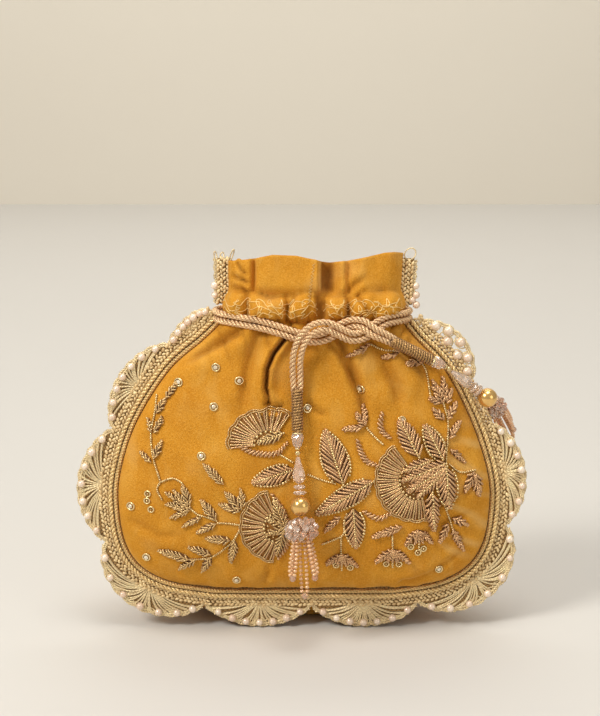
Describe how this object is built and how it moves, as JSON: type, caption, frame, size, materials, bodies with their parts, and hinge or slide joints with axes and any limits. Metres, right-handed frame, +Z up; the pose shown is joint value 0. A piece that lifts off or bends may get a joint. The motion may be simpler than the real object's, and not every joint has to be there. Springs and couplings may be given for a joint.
{
  "type": "potli bag",
  "caption": "Drawstring potli pouch of velvet with an embroidered front, scalloped lace trim, a doubled drawcord tied at the neck and beaded tassels.",
  "frame": {"origin": "under the middle of the bag's own box, on the surface it stands on", "axes": "+X to the right of someone facing the bag, -Y out of its embroidered front, +Z up through its mouth"},
  "size_m": [0.2214, 0.0967, 0.187],
  "materials": {
    "velvet": "deep mustard cotton velvet with a short pile",
    "lining": "plain satin-weave cotton",
    "lace": "crocheted antique gold thread with seed pearls",
    "piping": "twisted gold metal thread",
    "drawcord": "twisted rose-gold viscose rope",
    "wound_wire": "fine antique gold wire, wound tight",
    "gold_bead": "satin gold lacquer",
    "crystal": "faceted pale pink glass",
    "stone": "small clear stones in gold settings",
    "pearl": "cream pearl lacquer",
    "embroidery": "antique rose-gold bullion wire and sequins"
  },
  "bodies": {
    "bag": {"front_panel": "velvet", "back_panel": "velvet", "lining_front": "lining", "lining_back": "lining", "lace_trim": "lace", "lace_ruffle_left": "lace", "lace_ruffle_right": "lace", "piping_inner": "piping", "piping_outer": "piping", "drawcord_upper": "drawcord", "drawcord_lower": "drawcord", "front_sleeve": "wound_wire", "front_cap": "crystal", "right_sleeve": "wound_wire", "right_cap": "crystal", "stone_01": "stone", "stone_02": "stone", "stone_03": "stone", "stone_04": "stone", "stone_05": "stone", "stone_06": "stone", "stone_07": "stone", "stone_08": "stone", "stone_09": "stone", "stone_10": "stone", "stone_11": "stone", "stone_12": "stone"},
    "front_loop": {"front_knot": "wound_wire"},
    "front_upper": {"front_teardrop": "crystal", "front_rondelle": "crystal"},
    "front_lower": {"front_gold_bead": "gold_bead", "front_cluster": "crystal", "front_strand_1": "crystal", "front_strand_2": "crystal", "front_strand_3": "crystal", "front_strand_4": "crystal", "front_strand_5": "crystal"},
    "right_upper": {"right_knot": "wound_wire", "right_teardrop": "crystal", "right_rondelle": "crystal"},
    "right_lower": {"right_gold_bead": "gold_bead", "right_cluster": "crystal", "right_strand_1": "crystal", "right_strand_2": "crystal", "right_strand_3": "crystal", "right_strand_4": "crystal", "right_strand_5": "crystal"}
  },
  "joints": [
    {"name": "front_tassel_swing", "type": "hinge", "parent": "bag", "child": "front_loop", "pos_m": [-0.00188, -0.04039, 0.09591], "axis": [0, 1, 0], "range_deg": [-30, 30]},
    {"name": "front_tassel_lift", "type": "hinge", "parent": "front_loop", "child": "front_upper", "pos_m": [-0.00188, -0.04039, 0.09591], "axis": [-1, 0, 0], "range_deg": [0, 70]},
    {"name": "front_beads_swing", "type": "hinge", "parent": "front_upper", "child": "front_lower", "pos_m": [-0.00062, -0.0458, 0.07138], "axis": [0, 1, 0], "range_deg": [-35, 35]},
    {"name": "right_tassel_lift", "type": "hinge", "parent": "bag", "child": "right_upper", "pos_m": [0.07034, -0.02503, 0.13325], "axis": [0.2845, -0.9545, 0.0895], "range_deg": [0, 50]},
    {"name": "right_beads_lift", "type": "hinge", "parent": "right_upper", "child": "right_lower", "pos_m": [0.08991, -0.02061, 0.11809], "axis": [0.2845, -0.9545, 0.0895], "range_deg": [0, 40]}
  ]
}
